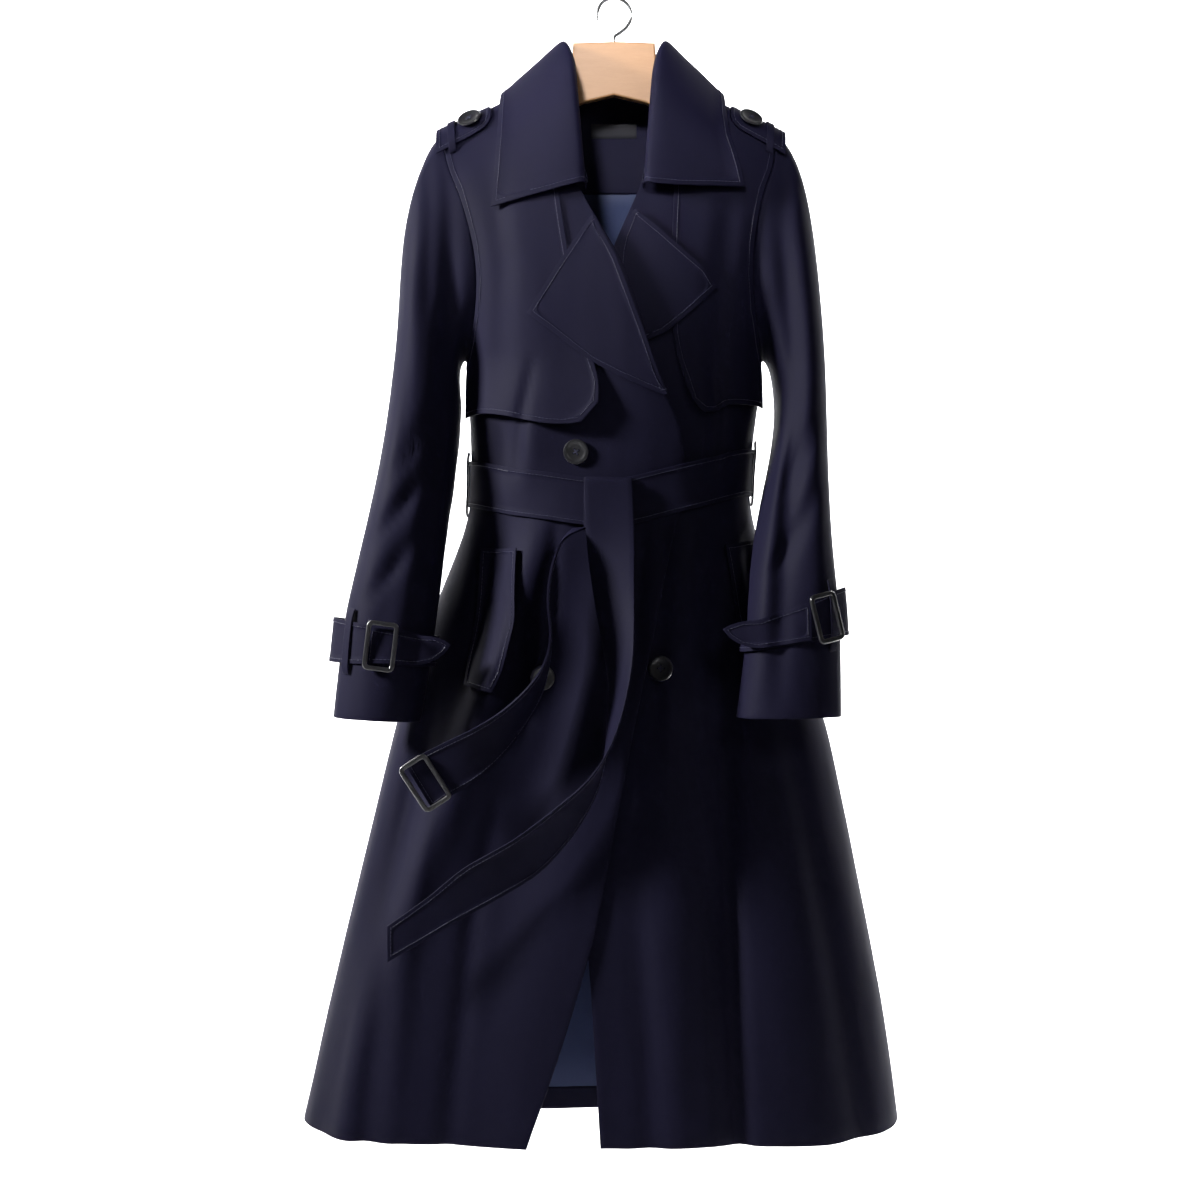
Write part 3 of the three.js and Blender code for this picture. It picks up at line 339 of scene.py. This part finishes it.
def laid_out(name, shape, material=None):
    """An object made of the shape, which is used up."""
    mesh = bpy.data.meshes.new(name)
    shape.to_mesh(mesh)
    shape.free()
    if material:
        mesh.materials.append(material)
    thing = bpy.data.objects.new(name, mesh)
    bpy.context.scene.collection.objects.link(thing)
    return thing


def worked_in(thing):
    """Works the object's modifiers into its mesh, and gives the mesh."""
    bpy.context.view_layer.update()
    seen = thing.evaluated_get(bpy.context.evaluated_depsgraph_get())
    mesh = bpy.data.meshes.new_from_object(seen)
    thing.modifiers.clear()
    thing.data = mesh
    for polygon in mesh.polygons:
        polygon.use_smooth = True
    return mesh


def finish_cloth(name, shape, material=NAVY, finish="cloth", middle=BODY_MIDDLE, creases=BODY_CREASES):
    """Turns the cut shape into a piece of the coat that stands for its CAD node."""
    piece = laid_out(f"{name}_cloth", shape, material)
    smooth = piece.modifiers.new("smooth", "SUBSURF")
    smooth.levels = 2
    smooth.render_levels = 2
    fine = worked_in(piece)
    places = np.empty(len(fine.vertices) * 3, dtype=np.float32)
    fine.vertices.foreach_get("co", places)
    fine.vertices.foreach_set("co", hung(places, middle, creases).astype(np.float32).ravel())
    edges = piece.modifiers.new("edges", "BEVEL")
    edges.width = 0.0005
    edges.segments = 2
    edges.angle_limit = 0.9
    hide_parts(name)
    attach(piece, "root")
    return piece


def stitch(name, piece, lines, middle=BODY_MIDDLE, creases=BODY_CREASES):
    """Topstitching: threads 3 mm long, 4 mm apart, lying along the lines on a piece."""
    spacing = 0.004
    skin = BVHTree.FromPolygons(
        [vertex.co for vertex in piece.data.vertices],
        [tuple(polygon.vertices) for polygon in piece.data.polygons],
    )
    row = bmesh.new()
    for line in lines:
        points = [Vector(point) for point in hung(line, middle, creases)]
        steps = [0.0]
        for first, last in zip(points, points[1:]):
            steps.append(steps[-1] + (last - first).length)
        reach = 0
        for count in range(int(steps[-1] / spacing)):
            along = spacing * (count + 0.5)
            while steps[reach + 1] < along:
                reach += 1
            share = (along - steps[reach]) / (steps[reach + 1] - steps[reach])
            way = (points[reach + 1] - points[reach]).normalized()
            nearest = skin.find_nearest(points[reach].lerp(points[reach + 1], share))
            place, normal = nearest[:2]
            side = normal.cross(way).normalized()
            up = way.cross(side)
            turned = Matrix((side, up, way)).transposed().to_4x4()
            bmesh.ops.create_cone(
                row,
                cap_ends=True,
                segments=5,
                radius1=0.0003,
                radius2=0.0003,
                depth=0.003,
                matrix=Matrix.Translation(place + up * 0.00012) @ turned,
            )
    thread = laid_out(name, row, THREAD)
    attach(thread, "root")
    return thread


# Thickness of the cloth in each kind of piece, and how far inside an edge its topstitching runs.
CLOTH_WALL = 0.002
STIFF_WALL = 0.0018
FLAP_WALL = 0.0016
LOOP_WALL = 0.0016
THIN_WALL = 0.0014
WIDE_SEAM = 0.005
NARROW_SEAM = 0.004

back = finish_cloth("back", cut_cloth("back", CLOTH_WALL))


# Fronts
# The wearer's right front laps over the left one, and both hang from the shoulder seams.
# They are cut from the same cloth, with the front edges pressed sharp.
for name, size, area in (("front_right", (0.38, 1.17), 0.32), ("front_left", (0.44, 1.17), 0.34)):
    front = finish_cloth(name, cut_cloth(name, CLOTH_WALL))


# Sleeves
# Two tubes set into the armholes, pressed flat by hanging, with the cuff turned in at the end.
# Each bends a little at the elbow, and its cloth falls into soft slanting folds there.
SLEEVE_MIDDLES = {
    "right": ((-0.2, -0.006), (-0.385, -0.028), (-0.537, -0.052), (-0.682, -0.076), (-0.783, -0.085)),
    "left": ((-0.2, -0.008), (-0.385, -0.025), (-0.487, -0.052), (-0.585, -0.084), (-0.782, -0.106)),
}
SLEEVE_CREASES = {
    "right": (
        (
            ((-0.16, -0.182), (-0.33, -0.176), (-0.47, -0.184), (-0.60, -0.196), (-0.76, -0.215)),
            0.012,
            -0.010,
            -1,
        ),
        (((-0.16, -0.205), (-0.24, -0.198), (-0.36, -0.200)), 0.009, -0.004, -1),
        (((-0.44, -0.176), (-0.49, -0.205), (-0.54, -0.245)), 0.010, -0.005, -1),
        (((-0.50, -0.186), (-0.55, -0.215), (-0.61, -0.262)), 0.011, -0.005, -1),
        (((-0.58, -0.200), (-0.62, -0.225), (-0.67, -0.268)), 0.010, -0.004, -1),
        (((-0.30, -0.236), (-0.40, -0.222), (-0.52, -0.226)), 0.010, -0.003, -1),
        (((-0.20, -0.200), (-0.40, -0.205), (-0.62, -0.230)), 0.012, -0.008, 1),
        (((-0.46, -0.185), (-0.52, -0.220), (-0.58, -0.252)), 0.010, -0.005, 1),
    ),
    "left": (
        (
            ((-0.16, 0.186), (-0.26, 0.180), (-0.40, 0.190), (-0.53, 0.184), (-0.66, 0.172), (-0.78, 0.168)),
            0.011,
            -0.009,
            -1,
        ),
        (((-0.36, 0.178), (-0.53, 0.163), (-0.70, 0.150)), 0.010, 0.004, -1),
        (((-0.44, 0.226), (-0.49, 0.206), (-0.55, 0.176)), 0.010, -0.005, -1),
        (((-0.52, 0.222), (-0.58, 0.196), (-0.64, 0.160)), 0.010, -0.005, -1),
        (((-0.24, 0.206), (-0.36, 0.214), (-0.50, 0.216)), 0.010, -0.004, -1),
        (((-0.20, 0.192), (-0.40, 0.200), (-0.62, 0.186)), 0.012, -0.008, 1),
        (((-0.48, 0.214), (-0.54, 0.190), (-0.60, 0.168)), 0.010, -0.005, 1),
    ),
}
SLEEVE_FOLDS = {
    side: {"middle": SLEEVE_MIDDLES[side], "creases": SLEEVE_CREASES[side]} for side in ("right", "left")
}
for side, size, area in (("right", (0.3, 0.655), 0.165), ("left", (0.302, 0.65), 0.159)):
    name = f"sleeve_{side}"
    sleeve = finish_cloth(name, cut_cloth(name, CLOTH_WALL), **SLEEVE_FOLDS[side])


# Storm flaps
# A loose second layer over the chest, caught in the shoulder and armhole seams.
# The free edges are topstitched 5 mm in.
for side, size, area in (("right", (0.18, 0.4), 0.048), ("left", (0.135, 0.385), 0.038)):
    name = f"storm_flap_{side}"
    flap_cut = cut_cloth(name, FLAP_WALL)
    lines = press_seam(flap_cut, FLAP_WALL, WIDE_SEAM)
    flap = finish_cloth(name, flap_cut)
    thread = stitch(f"storm_flap_stitches_{side}", flap, lines)


# Lapels and collar
# The tops of the fronts turned back, and a collar on a low stand that folds down over the shoulders.
# Both are stiffened inside, and topstitched 5 mm from the edge.
for side, size, area in (("right", (0.115, 0.2), 0.0132), ("left", (0.11, 0.15), 0.0096)):
    name = f"lapel_{side}"
    lapel_cut = cut_cloth(name, CLOTH_WALL)
    lines = press_seam(lapel_cut, CLOTH_WALL, WIDE_SEAM)
    lapel = finish_cloth(name, lapel_cut)
    thread = stitch(f"lapel_stitches_{side}", lapel, lines)

collar_cut = cut_cloth("collar", STIFF_WALL)
lines = press_seam(collar_cut, STIFF_WALL, WIDE_SEAM)
collar = finish_cloth("collar", collar_cut)
thread = stitch("collar_stitches", collar, lines)


# Epaulettes
# Straps over the shoulders, caught in the armhole seam and pointed at the neck end.
# Each passes under a keeper loop, and a button holds its point down.
UP = (0.0, 0.0, 1.0)
for side in ("right", "left"):
    strap_cut = cut_cloth(f"epaulette_{side}", STIFF_WALL)
    lines = press_seam(strap_cut, STIFF_WALL, NARROW_SEAM, UP)
    strap = finish_cloth(f"epaulette_{side}", strap_cut)
    thread = stitch(f"epaulette_stitches_{side}", strap, lines)
    loop = finish_cloth(f"epaulette_loop_{side}", cut_cloth(f"epaulette_loop_{side}", THIN_WALL))


# Belt
# A belt 50 mm wide with topstitched edges, knotted at the front and held by a loop at each side seam.
# One end hangs plain and turns over once. The other carries the buckle and hangs edge on.
belt_cut = cut_cloth("belt_waist", CLOTH_WALL)
lines = press_seam(belt_cut, CLOTH_WALL, NARROW_SEAM, None)
belt = finish_cloth("belt_waist", belt_cut)
thread = stitch("belt_waist_stitches", belt, lines)

for side in ("right", "left"):
    loop = finish_cloth(f"belt_loop_{side}", cut_cloth(f"belt_loop_{side}", LOOP_WALL))

KNOT_WALL = 0.003
knot = finish_cloth("belt_knot", cut_cloth("belt_knot", KNOT_WALL), creases=())

for end, size in (("plain", (0.05, 0.58)), ("buckle", (0.048, 0.33))):
    name = f"belt_tail_{end}"
    tail_cut = cut_cloth(name, CLOTH_WALL)
    lines = press_seam(tail_cut, CLOTH_WALL, NARROW_SEAM)
    tail = finish_cloth(name, tail_cut, creases=())
    thread = stitch(f"belt_tail_stitches_{end}", tail, lines, creases=())


# Cuff straps
# A strap round each cuff, threaded through its buckle at the front.
# Its free end is pointed, and a keeper loop holds the strap near the buckle.
for side in ("right", "left"):
    folds = SLEEVE_FOLDS[side]
    strap_cut = cut_cloth(f"cuff_strap_{side}", CLOTH_WALL)
    lines = press_seam(strap_cut, CLOTH_WALL, NARROW_SEAM, None)
    strap = finish_cloth(f"cuff_strap_{side}", strap_cut, **folds)
    thread = stitch(f"cuff_strap_stitches_{side}", strap, lines, **folds)
    end_cut = cut_cloth(f"cuff_strap_end_{side}", CLOTH_WALL)
    lines = press_seam(end_cut, CLOTH_WALL, NARROW_SEAM)
    end = finish_cloth(f"cuff_strap_end_{side}", end_cut, **folds)
    thread = stitch(f"cuff_end_stitches_{side}", end, lines, **folds)
    loop = finish_cloth(f"cuff_loop_{side}", cut_cloth(f"cuff_loop_{side}", LOOP_WALL), **folds)


# Pocket welts
# A slanting stitched welt over each pocket mouth, folded double and sewn down along one side.
# The wearer's left one is half hidden behind the sleeve.
for side in ("right", "left"):
    welt_cut = cut_cloth(f"pocket_welt_{side}", THIN_WALL)
    lines = press_seam(welt_cut, THIN_WALL, NARROW_SEAM)
    welt = finish_cloth(f"pocket_welt_{side}", welt_cut)
    thread = stitch(f"pocket_welt_stitches_{side}", welt, lines)


# Inside of the back
# The neck facing and the turned-up hem are of the coat's own cloth, and the lining is blue satin.
# The small label on the facing is bare.
SATIN = woven_cloth("blue_satin", (0.014, 0.019, 0.05), (0.04, 0.052, 0.115), 0.38, 0.1, (0.5, 0.6, 1.0))
LABEL = woven_cloth("black_label", (0.006, 0.006, 0.008), (0.02, 0.02, 0.026), 0.5, 0.1, (0.5, 0.5, 0.6))
inside = (
    ("neck_facing", 0.0016, NAVY, "cloth", (0.105, 0.112), 0.011),
    ("lining", 0.001, SATIN, "satin", (0.415, 1.005), 0.278),
    ("hem_facing", 0.0016, NAVY, "cloth", (0.416, 0.024), 0.00995),
    ("label", 0.0006, LABEL, "cloth", (0.05, 0.016), 0.0008),
)
for name, wall, material, finish, size, area in inside:
    piece = finish_cloth(name, cut_cloth(name, wall), material, finish)


# Buttons
# Dark horn buttons 27 mm across with a raised rim and four holes, sewn on with crossed thread.
# Two hold the epaulettes, and three are on the fronts.
def dark_horn():
    """Polished horn: nearly black, with a cloudy grain and a hard gloss."""
    shader = Shader("dark_horn")
    swirl = shader.mottle(shader.stretched((1.0, 1.0, 0.3), (0.4, 0.2, 0.0)), 90.0, 4.0)
    return shader.done(
        {
            "Base Color": shader.two_tone(swirl, (0.003, 0.003, 0.004), (0.018, 0.018, 0.022)),
            "Roughness": 0.24 + 0.12 * swirl,
            "Normal": shader.relief(swirl, 0.08, 0.0005),
            "Coat Weight": 0.8 + 0.2 * swirl,
            "Coat Roughness": 0.1,
            "Coat IOR": 1.8,
            "Specular IOR Level": 0.9,
        }
    )


HORN = dark_horn()
# Half of a button cut through: distance from its middle, and height.
BUTTON_PROFILE = (
    (0.0, -0.0018),
    (0.0105, -0.0018),
    (0.0128, -0.0006),
    (0.0135, 0.0006),
    (0.0128, 0.0017),
    (0.0112, 0.002),
    (0.0096, 0.0014),
    (0.0075, 0.0008),
    (0.0, 0.0006),
)
HOLE_ASIDE = 0.0023
HOLE_RADIUS = 0.0011
STRAND_LENGTH = 0.0068
STRAND_RADIUS = 0.00028
STRAND_HEIGHT = 0.0011
STRANDS = (-0.0004, 0.0, 0.0004)


def turned_shape(profile):
    """A round shape: the profile turned once about the upright axis."""
    shape = bmesh.new()
    corners = [shape.verts.new((x, 0.0, z)) for x, z in profile]
    line = [shape.edges.new(pair) for pair in zip(corners, corners[1:])]
    bmesh.ops.spin(
        shape,
        geom=corners + line,
        axis=(0.0, 0.0, 1.0),
        angle=2 * np.pi,
        steps=40,
        use_merge=True,
    )
    bmesh.ops.remove_doubles(shape, verts=shape.verts, dist=0.00001)
    bmesh.ops.recalc_face_normals(shape, faces=shape.faces)
    return shape


def four_drills():
    """Four upright rods where the holes of a button are."""
    drills = bmesh.new()
    for x, y in ((1, 1), (-1, 1), (-1, -1), (1, -1)):
        bmesh.ops.create_cone(
            drills,
            cap_ends=True,
            segments=12,
            radius1=HOLE_RADIUS,
            radius2=HOLE_RADIUS,
            depth=0.01,
            matrix=Matrix.Translation((HOLE_ASIDE * x, HOLE_ASIDE * y, 0.0)),
        )
    return drills


def crossed_strands():
    """The thread over a button: two bundles of three strands from hole to hole."""
    strands = bmesh.new()
    for turn in (0.25 * np.pi, 0.75 * np.pi):
        for aside in STRANDS:
            place = Matrix.Rotation(turn, 4, "Z") @ Matrix.Translation((0.0, aside, STRAND_HEIGHT))
            bmesh.ops.create_cone(
                strands,
                cap_ends=True,
                segments=6,
                radius1=STRAND_RADIUS,
                radius2=STRAND_RADIUS,
                depth=STRAND_LENGTH,
                matrix=place @ Matrix.Rotation(0.5 * np.pi, 4, "Y"),
            )
    return strands


def seat_of(name):
    """Where a CAD button lies: the place and turn of a button made flat round the origin."""
    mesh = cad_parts[name].data
    points = np.array([vertex.co for vertex in mesh.vertices])
    middle = (points.max(axis=0) + points.min(axis=0)) / 2
    axes = np.linalg.svd(points - points.mean(axis=0), full_matrices=False)[2]
    out = Vector(axes[2])
    if out.y > 0.0:
        out.negate()
    across = out.cross(Vector(axes[0])).normalized()
    moved = Vector(hung(Vector(middle), BODY_MIDDLE, BODY_CREASES)[0])
    return Matrix.Translation(moved) @ Matrix((across.cross(out), across, out)).transposed().to_4x4()


for name in ("epaulette_right", "epaulette_left", "waist", "skirt_right", "skirt_left"):
    seat = seat_of(f"button_{name}")
    button = laid_out(f"button_{name}_horn", turned_shape(BUTTON_PROFILE))
    drill = laid_out("drill", four_drills())
    holes = button.modifiers.new("holes", "BOOLEAN")
    holes.object = drill
    holes.operation = "DIFFERENCE"
    drilled = worked_in(button)
    bpy.data.objects.remove(drill)
    drilled.set_sharp_from_angle(angle=0.7)
    drilled.transform(seat)
    drilled.materials.clear()
    drilled.materials.append(HORN)
    thread = laid_out(f"button_thread_{name}", crossed_strands(), THREAD)
    thread.data.transform(seat)
    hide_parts(f"button_{name}")
    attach(button, "root")
    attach(thread, "root")


# Buckles
# Moulded dark frames with rounded bars, one on each cuff and one on the belt's end.
# They are of the same material as the buttons.
for name in ("cuff_buckle_right", "cuff_buckle_left", "belt_buckle"):
    shape = squared(name)
    sharp = [edge for edge in shape.edges if edge.calc_face_angle(0.0) > 1.0]
    bmesh.ops.bevel(
        shape,
        geom=sharp,
        offset=0.0012,
        offset_type="OFFSET",
        segments=4,
        profile=0.5,
        affect="EDGES",
        material=-1,
    )
    buckle = laid_out(f"{name}_horn", shape, HORN)
    for polygon in buckle.data.polygons:
        polygon.use_smooth = True
    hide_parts(name)
    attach(buckle, "root")


# Hanger
# A shaped beech hanger with a clear varnish, cut from one board.
# A hook of bent steel wire is screwed into its top.
def varnished_beech():
    """Pale beech with its grain along the hanger and short dark flecks."""
    shader = Shader("beech")
    grain = shader.mottle(shader.stretched((1.0, 6.0, 6.0), (0.0, 0.1, 0.0)), 28.0, 5.0, 0.65)
    flecks = shader.mottle(shader.stretched((1.0, 9.0, 9.0)), 160.0)
    tone = grain * 0.7 + flecks * 0.3
    return shader.done(
        {
            "Base Color": shader.two_tone(tone, (0.235, 0.113, 0.041), (0.373, 0.197, 0.086)),
            "Roughness": 0.36 + 0.2 * flecks,
            "Normal": shader.relief(grain, 0.06, 0.0006),
            "Coat Weight": 0.15 + 0.1 * grain,
            "Coat Roughness": 0.25,
        }
    )


def bright_wire():
    """Drawn steel wire with fine marks along it."""
    shader = Shader("bright_wire")
    drawn = shader.mottle(shader.stretched((1.0, 1.0, 0.1)), 1400.0)
    return shader.done(
        {
            "Base Color": shader.two_tone(drawn, (0.5, 0.5, 0.51), (0.66, 0.66, 0.67)),
            "Metallic": 1.0,
            "Roughness": 0.18 + 0.16 * drawn,
        }
    )


for name, material in (("hanger", varnished_beech()), ("hanger_hook", bright_wire())):
    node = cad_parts[name]
    node.data.materials.clear()
    node.data.materials.append(material)


# Floor and wall
# A plain white sweep: a pale floor below the coat that curves up into the wall far behind it.
FLOOR = -1.5
BEND_START = 2.9
BEND_RADIUS = 1.4
SWEEP_HALF = 8.0
STUDIO = Shader("white_studio").done({"Base Color": (0.88, 0.88, 0.89, 1.0), "Roughness": 0.9})
bend = np.radians(range(10, 91, 10))
profile = [(-6.0, FLOOR), (BEND_START, FLOOR)]
profile += [
    (BEND_START + BEND_RADIUS * np.sin(turn), FLOOR + BEND_RADIUS * (1.0 - np.cos(turn))) for turn in bend
]
profile.append((BEND_START + BEND_RADIUS, 6.0))
sweep = bmesh.new()
corners = [sweep.verts.new((-SWEEP_HALF, y, z)) for y, z in profile]
line = [sweep.edges.new(pair) for pair in zip(corners, corners[1:])]
swept = bmesh.ops.extrude_edge_only(sweep, edges=line)
moved = [item for item in swept["geom"] if isinstance(item, bmesh.types.BMVert)]
bmesh.ops.translate(sweep, verts=moved, vec=(2 * SWEEP_HALF, 0.0, 0.0))
studio = laid_out("studio", sweep, STUDIO)
for polygon in studio.data.polygons:
    polygon.use_smooth = True


# Lights
# A key low across the coat from the photograph's left, a narrow one on the collar and a weak fill.
# Two more lamps whiten the wall behind.
def area_light(name, place, towards, size, power, spread=np.pi):
    light = bpy.data.lights.new(name, "AREA")
    light.size = size
    light.spread = spread
    light.energy = power
    lamp = bpy.data.objects.new(name, light)
    lamp.location = place
    lamp.rotation_euler = (Vector(towards) - Vector(place)).to_track_quat("-Z", "Y").to_euler()
    bpy.context.scene.collection.objects.link(lamp)


area_light("key", (-2.3, -0.8, 0.5), (-0.2, 0.0, -0.5), 0.45, 15.5, 0.9)
area_light("collar_lamp", (-0.5, -2.0, 0.9), (0.0, 0.0, -0.06), 0.3, 0.9, 0.26)
area_light("fill", (1.4, -2.4, 0.6), (0.05, 0.0, -0.75), 0.8, 9.5)
area_light("wall_left", (-2.2, 1.6, 1.2), (-1.0, 4.3, -0.6), 1.6, 420.0)
area_light("wall_right", (2.2, 1.6, 1.2), (1.0, 4.3, -0.6), 1.6, 420.0)
surround = bpy.data.worlds.new("surround")
surround.use_nodes = True
surround.node_tree.nodes["Background"].inputs["Color"].default_value = (1.0, 1.0, 1.0, 1.0)
surround.node_tree.nodes["Background"].inputs["Strength"].default_value = 0.02
bpy.context.scene.world = surround
bpy.context.scene.view_settings.view_transform = "Standard"
